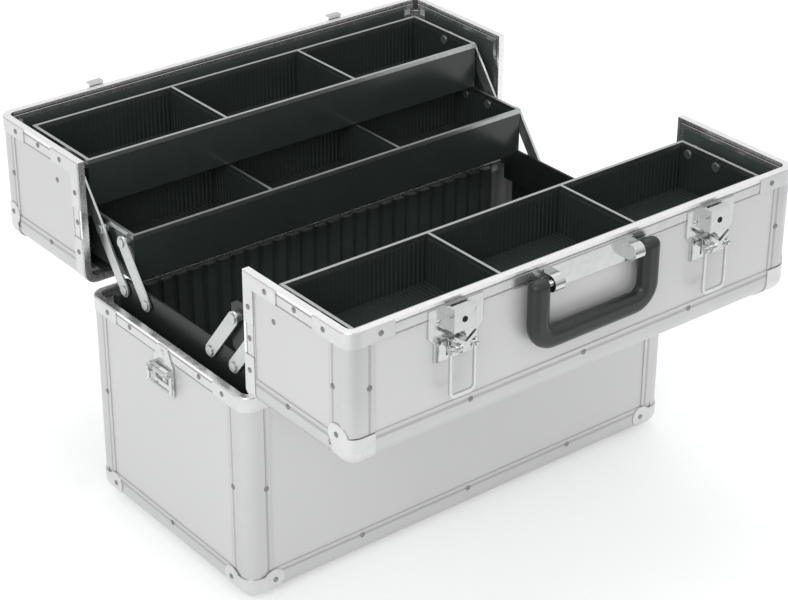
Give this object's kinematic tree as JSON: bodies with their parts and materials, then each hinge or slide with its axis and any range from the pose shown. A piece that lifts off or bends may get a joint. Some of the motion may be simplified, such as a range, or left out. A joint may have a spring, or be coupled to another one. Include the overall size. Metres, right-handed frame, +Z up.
{
  "type": "makeup train case",
  "caption": "Aluminium-framed train case with two half lids, cantilever trays on parallel arms, a drop handle and key-lock draw latches, shown open.",
  "frame": {"origin": "centre of the case body's footprint, on the plane the feet stand on", "axes": "+Z up; +Y from the front lid towards the rear lid; +X to the right, along the case's length"},
  "size_m": [0.478, 0.5164, 0.316],
  "materials": {
    "silver_board": "smooth satin laminate",
    "frame_aluminium": "polished extrusion",
    "chrome_hardware": "bright plated",
    "black_liner": "matt ribbed sheet",
    "tray_plastic": "satin moulded",
    "tray_trim": "satin strip",
    "arm_aluminium": "satin flat bar",
    "bracket_steel": "black baked enamel",
    "foot_rubber": "matt",
    "handle_vinyl": "padded vinyl with a soft sheen",
    "lock_black": "black"
  },
  "bodies": {
    "body": {"body_front_board": "silver_board", "body_rear_board": "silver_board", "body_end_boards": "silver_board", "body_floor_board": "silver_board", "body_corner_posts": "frame_aluminium", "body_bottom_edges": "frame_aluminium", "body_rim_frame": "frame_aluminium", "body_corner_caps": "chrome_hardware", "body_rivets": "chrome_hardware", "body_ribbed_liners": "black_liner", "body_flat_liners": "black_liner", "body_feet": "foot_rubber", "strap_brackets": "chrome_hardware", "tray_brackets": "bracket_steel", "hinge_body_leaves": "chrome_hardware"},
    "left_strap_ring": {"left_strap_ring": "chrome_hardware"},
    "right_strap_ring": {"right_strap_ring": "chrome_hardware"},
    "front_lid": {"front_lid_top_board": "silver_board", "front_lid_wall_board": "silver_board", "front_lid_end_boards": "silver_board", "front_lid_edge_bars": "frame_aluminium", "front_lid_rim_frame": "frame_aluminium", "front_lid_corner_caps": "chrome_hardware", "front_lid_rivets": "chrome_hardware", "front_lid_liners": "black_liner", "front_lid_hinge_leaves": "chrome_hardware", "handle_mount": "chrome_hardware", "latch_plates": "chrome_hardware", "latch_locks": "lock_black"},
    "rear_lid": {"rear_lid_top_board": "silver_board", "rear_lid_wall_board": "silver_board", "rear_lid_end_boards": "silver_board", "rear_lid_edge_bars": "frame_aluminium", "rear_lid_rim_frame": "frame_aluminium", "rear_lid_corner_caps": "chrome_hardware", "rear_lid_rivets": "chrome_hardware", "rear_lid_liners": "black_liner", "rear_lid_hinge_leaves": "chrome_hardware", "latch_catches": "chrome_hardware"},
    "handle": {"handle_grip": "handle_vinyl"},
    "left_latch_lever": {"left_latch_lever": "chrome_hardware"},
    "right_latch_lever": {"right_latch_lever": "chrome_hardware"},
    "left_latch_loop": {"left_latch_loop": "chrome_hardware"},
    "right_latch_loop": {"right_latch_loop": "chrome_hardware"},
    "rear_upper_tray": {"rear_upper_tray": "tray_plastic", "rear_upper_tray_trim": "tray_trim"},
    "rear_mid_tray": {"rear_mid_tray": "tray_plastic", "rear_mid_tray_trim": "tray_trim"},
    "front_tray": {"front_tray": "tray_plastic", "front_tray_trim": "tray_trim"},
    "rear_long_arms": {"rear_long_arms": "arm_aluminium"},
    "rear_lower_arms": {"rear_lower_arms": "arm_aluminium"},
    "rear_upper_arms": {"rear_upper_arms": "arm_aluminium"},
    "front_long_arms": {"front_long_arms": "arm_aluminium"},
    "front_lower_arms": {"front_lower_arms": "arm_aluminium"},
    "front_upper_arms": {"front_upper_arms": "arm_aluminium"},
    "front_coupler_plates": {"front_coupler_plates": "bracket_steel"}
  },
  "joints": [
    {"name": "front_lid_hinge", "type": "hinge", "parent": "body", "child": "front_lid", "pos_m": [0, -0.117, 0.1962], "axis": [-1, 0, 0], "range_deg": [0, 90]},
    {"name": "rear_lid_hinge", "type": "hinge", "parent": "body", "child": "rear_lid", "pos_m": [0, 0.117, 0.1962], "axis": [1, 0, 0], "range_deg": [0, 90]},
    {"name": "rear_long_arm_pivot", "type": "hinge", "parent": "body", "child": "rear_long_arms", "pos_m": [0, 0.0795, 0.2065], "axis": [1, 0, 0], "range_deg": [-0.2, 73.7]},
    {"name": "rear_lower_arm_pivot", "type": "hinge", "parent": "body", "child": "rear_lower_arms", "pos_m": [0, 0.047, 0.2065], "axis": [1, 0, 0], "range_deg": [-0.2, 73.7]},
    {"name": "rear_mid_tray_pivot", "type": "hinge", "parent": "rear_long_arms", "child": "rear_mid_tray", "pos_m": [0, 0.11221, 0.25071], "axis": [1, 0, 0], "range_deg": [-73.7, 0.2]},
    {"name": "rear_upper_tray_pivot", "type": "hinge", "parent": "rear_long_arms", "child": "rear_upper_tray", "pos_m": [0, 0.14493, 0.29492], "axis": [1, 0, 0], "range_deg": [-73.7, 0.2]},
    {"name": "rear_upper_arm_pivot", "type": "hinge", "parent": "rear_mid_tray", "child": "rear_upper_arms", "pos_m": [0, 0.14472, 0.25071], "axis": [1, 0, 0], "range_deg": [-0.2, 73.7]},
    {"name": "front_long_arm_pivot", "type": "hinge", "parent": "body", "child": "front_long_arms", "pos_m": [0, -0.0795, 0.2065], "axis": [-1, 0, 0], "range_deg": [-0.2, 75.2]},
    {"name": "front_lower_arm_pivot", "type": "hinge", "parent": "body", "child": "front_lower_arms", "pos_m": [0, -0.047, 0.2065], "axis": [-1, 0, 0], "range_deg": [-0.2, 75.2]},
    {"name": "front_coupler_pivot", "type": "hinge", "parent": "front_long_arms", "child": "front_coupler_plates", "pos_m": [0, -0.11336, 0.24984], "axis": [-1, 0, 0], "range_deg": [-75.2, 0.2]},
    {"name": "front_tray_pivot", "type": "hinge", "parent": "front_long_arms", "child": "front_tray", "pos_m": [0, -0.14722, 0.29318], "axis": [-1, 0, 0], "range_deg": [-75.2, 0.2]},
    {"name": "front_upper_arm_pivot", "type": "hinge", "parent": "front_coupler_plates", "child": "front_upper_arms", "pos_m": [0, -0.14586, 0.24984], "axis": [-1, 0, 0], "range_deg": [-0.2, 75.2]},
    {"name": "handle_hinge", "type": "hinge", "parent": "front_lid", "child": "handle", "pos_m": [0, -0.2552, 0.298], "axis": [-1, 0, 0], "range_deg": [-1, 180]},
    {"name": "left_latch_lever_pivot", "type": "hinge", "parent": "front_lid", "child": "left_latch_lever", "pos_m": [-0.1315, -0.2562, 0.275], "axis": [-1, 0, 0], "range_deg": [-110, 0.5]},
    {"name": "left_latch_loop_pivot", "type": "hinge", "parent": "front_lid", "child": "left_latch_loop", "pos_m": [-0.1315, -0.2562, 0.275], "axis": [-1, 0, 0], "range_deg": [-8, 180]},
    {"name": "left_strap_ring_pivot", "type": "hinge", "parent": "body", "child": "left_strap_ring", "pos_m": [-0.235, 0, 0.172], "axis": [0, 1, 0], "range_deg": [-3, 120]},
    {"name": "right_latch_lever_pivot", "type": "hinge", "parent": "front_lid", "child": "right_latch_lever", "pos_m": [0.1315, -0.2562, 0.275], "axis": [-1, 0, 0], "range_deg": [-110, 0.5]},
    {"name": "right_latch_loop_pivot", "type": "hinge", "parent": "front_lid", "child": "right_latch_loop", "pos_m": [0.1315, -0.2562, 0.275], "axis": [-1, 0, 0], "range_deg": [-8, 180]},
    {"name": "right_strap_ring_pivot", "type": "hinge", "parent": "body", "child": "right_strap_ring", "pos_m": [0.235, 0, 0.172], "axis": [0, -1, 0], "range_deg": [-3, 120]}
  ],
  "couplings": [
    {"joint": "rear_long_arm_pivot", "follows": "rear_lid_hinge", "ratio": 0.81667},
    {"joint": "rear_lower_arm_pivot", "follows": "rear_lid_hinge", "ratio": 0.81667},
    {"joint": "rear_mid_tray_pivot", "follows": "rear_lid_hinge", "ratio": -0.81667},
    {"joint": "rear_upper_tray_pivot", "follows": "rear_lid_hinge", "ratio": -0.81667},
    {"joint": "rear_upper_arm_pivot", "follows": "rear_lid_hinge", "ratio": 0.81667},
    {"joint": "front_long_arm_pivot", "follows": "front_lid_hinge", "ratio": 0.83333},
    {"joint": "front_lower_arm_pivot", "follows": "front_lid_hinge", "ratio": 0.83333},
    {"joint": "front_coupler_pivot", "follows": "front_lid_hinge", "ratio": -0.83333},
    {"joint": "front_tray_pivot", "follows": "front_lid_hinge", "ratio": -0.83333},
    {"joint": "front_upper_arm_pivot", "follows": "front_lid_hinge", "ratio": 0.83333}
  ]
}
